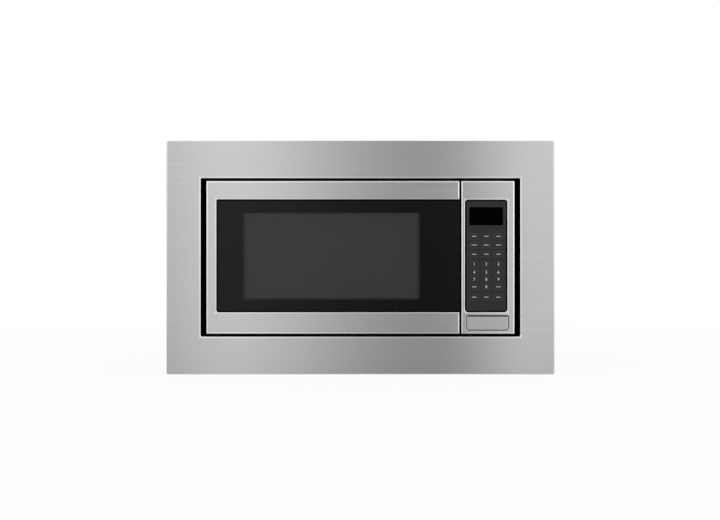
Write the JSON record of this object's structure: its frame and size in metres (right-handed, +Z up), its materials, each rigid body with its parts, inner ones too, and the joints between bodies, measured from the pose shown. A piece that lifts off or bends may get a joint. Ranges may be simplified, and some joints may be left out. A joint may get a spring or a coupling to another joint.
{
  "type": "built-in microwave oven",
  "caption": "Built-in microwave oven with a brushed steel trim frame, side-hinged glass door, turntable, membrane keypad with display, and a push button that lifts the door's latch.",
  "frame": {"origin": "on the plane of the cabinet's front face, where the trim's back lip lies, at the height of the shelf, midway across the trim", "axes": "+X to the right as seen from the room, +Y into the cabinet, +Z up"},
  "size_m": [0.756, 0.4472, 0.4564],
  "materials": {
    "brushed_stainless": "horizontal brushed stainless steel",
    "black_bracket": "matt black paint",
    "zinc_steel": "bright zinc-plated sheet",
    "screw_steel": "plated steel",
    "foot_rubber": "moulded rubber",
    "cavity_enamel": "light grey enamel",
    "plate_black": "black enamel",
    "black_plastic": "moulded black plastic",
    "white_plastic": "moulded white plastic",
    "acetal": "natural acetal",
    "bronze": "sintered bronze",
    "dark_glass": "dark tinted float glass, black printed border",
    "clear_film": "clear film over the screen",
    "screen_black": "black enamelled perforated sheet",
    "keypad_film": "printed membrane",
    "display_lens": "smoked acrylic",
    "button_silver": "silver-coated plastic",
    "board_green": "glass-fibre board",
    "spring_steel": "spring wire",
    "clear_glass": "clear soda glass",
    "mica": "mica sheet",
    "fin_aluminium": "plain aluminium",
    "core_iron": "varnished laminations",
    "copper_coil": "enamelled copper",
    "capacitor_can": "drawn can",
    "magnet_dark": "ferrite magnets and copper anode",
    "bulb_glass": "clear bulb",
    "fan_plastic": "moulded plastic"
  },
  "bodies": {
    "oven_body": {"trim_frame": "brushed_stainless", "trim_brackets": "black_bracket", "cabinet_screws": "screw_steel", "base_rails": "zinc_steel", "feet": "foot_rubber", "outer_case": "zinc_steel", "base_plate": "zinc_steel", "rear_panel": "zinc_steel", "cord_gland": "black_plastic", "front_plate": "plate_black", "cavity_wrap": "cavity_enamel", "cavity_floor": "cavity_enamel", "cavity_back": "cavity_enamel", "hinge_arms": "plate_black", "latch_body": "white_plastic", "interlock_switches": "black_plastic", "control_panel_skin": "brushed_stainless", "control_panel_carrier": "black_plastic", "keypad_membrane": "keypad_film", "display_window": "display_lens", "display_module": "black_plastic", "control_board": "board_green", "button_spring": "spring_steel", "turntable_motor": "zinc_steel", "waveguide": "zinc_steel", "waveguide_cover": "mica", "magnetron_yoke": "zinc_steel", "magnetron_tube": "magnet_dark", "magnetron_fins": "fin_aluminium", "thermal_cutouts": "black_plastic", "transformer_core": "core_iron", "transformer_windings": "copper_coil", "capacitor": "capacitor_can", "capacitor_clamp": "zinc_steel", "hv_diode": "black_plastic", "noise_filter": "board_green", "lamp_holder": "zinc_steel", "lamp_bulb": "bulb_glass", "fan_shroud": "fan_plastic", "fan_motor": "core_iron"},
    "door": {"door_skin": "brushed_stainless", "door_glass": "dark_glass", "door_carrier": "black_plastic", "door_screen_panel": "screen_black", "door_choke_cover": "black_plastic", "door_inner_film": "clear_film", "hinge_bushes": "bronze"},
    "latch": {"latch_hooks": "acetal"},
    "lever": {"release_lever": "acetal"},
    "plungers": {"switch_plungers": "acetal"},
    "button": {"open_button": "button_silver"},
    "turntable": {"glass_tray": "clear_glass", "turntable_coupler": "acetal", "turntable_shaft": "screw_steel"},
    "ring": {"roller_ring": "acetal"},
    "wheel_1": {"roller_wheel_1": "acetal"},
    "wheel_2": {"roller_wheel_2": "acetal"},
    "wheel_3": {"roller_wheel_3": "acetal"},
    "fan": {"fan_blade": "fan_plastic", "fan_shaft": "screw_steel"}
  },
  "joints": [
    {"name": "door_hinge", "type": "hinge", "parent": "oven_body", "child": "door", "pos_m": [-0.2856, -0.006, 0.2115], "axis": [0, 0, -1], "range_deg": [0, 100]},
    {"name": "open_button", "type": "slide", "parent": "oven_body", "child": "button", "axis": [0, 1, 0], "range_m": [0, 0.006], "stiffness_N_per_m": 600, "springref_m": -0.003, "deforming": ["button_spring"]},
    {"name": "release_lever", "type": "hinge", "parent": "oven_body", "child": "lever", "pos_m": [0.2, 0.0602, 0.066], "axis": [-1, 0, 0], "range_deg": [0, 15.47]},
    {"name": "latch_lift", "type": "slide", "parent": "door", "child": "latch", "axis": [0, 0, 1], "range_m": [0, 0.007]},
    {"name": "switch_plungers", "type": "slide", "parent": "oven_body", "child": "plungers", "axis": [0, -1, 0], "range_m": [0, 0.0015]},
    {"name": "turntable_spin", "type": "hinge", "parent": "oven_body", "child": "turntable", "pos_m": [-0.057, 0.1982, 0.1123], "axis": [0, 0, 1], "continuous": true},
    {"name": "roller_ring_spin", "type": "hinge", "parent": "oven_body", "child": "ring", "pos_m": [-0.057, 0.1982, 0.1123], "axis": [0, 0, 1], "continuous": true},
    {"name": "roller_wheel_1_spin", "type": "hinge", "parent": "ring", "child": "wheel_1", "pos_m": [-0.057, 0.3062, 0.1123], "axis": [0, 1, 0], "continuous": true},
    {"name": "roller_wheel_2_spin", "type": "hinge", "parent": "ring", "child": "wheel_2", "pos_m": [-0.15053, 0.1442, 0.1123], "axis": [-0.866, -0.5, 0], "continuous": true},
    {"name": "roller_wheel_3_spin", "type": "hinge", "parent": "ring", "child": "wheel_3", "pos_m": [0.03653, 0.1442, 0.1123], "axis": [0.866, -0.5, 0], "continuous": true},
    {"name": "fan_spin", "type": "hinge", "parent": "oven_body", "child": "fan", "pos_m": [0.2198, 0.39, 0.2315], "axis": [0, 1, 0], "continuous": true}
  ],
  "couplings": [
    {"joint": "release_lever", "follows": "open_button", "rad_per_m": 44.989},
    {"joint": "latch_lift", "follows": "open_button", "ratio": 1.1667},
    {"joint": "switch_plungers", "follows": "door_hinge", "m_per_rad": 0.00085935},
    {"joint": "roller_ring_spin", "follows": "turntable_spin", "ratio": 0.5},
    {"joint": "roller_wheel_1_spin", "follows": "turntable_spin", "ratio": -6.75},
    {"joint": "roller_wheel_2_spin", "follows": "turntable_spin", "ratio": -6.75},
    {"joint": "roller_wheel_3_spin", "follows": "turntable_spin", "ratio": -6.75}
  ]
}
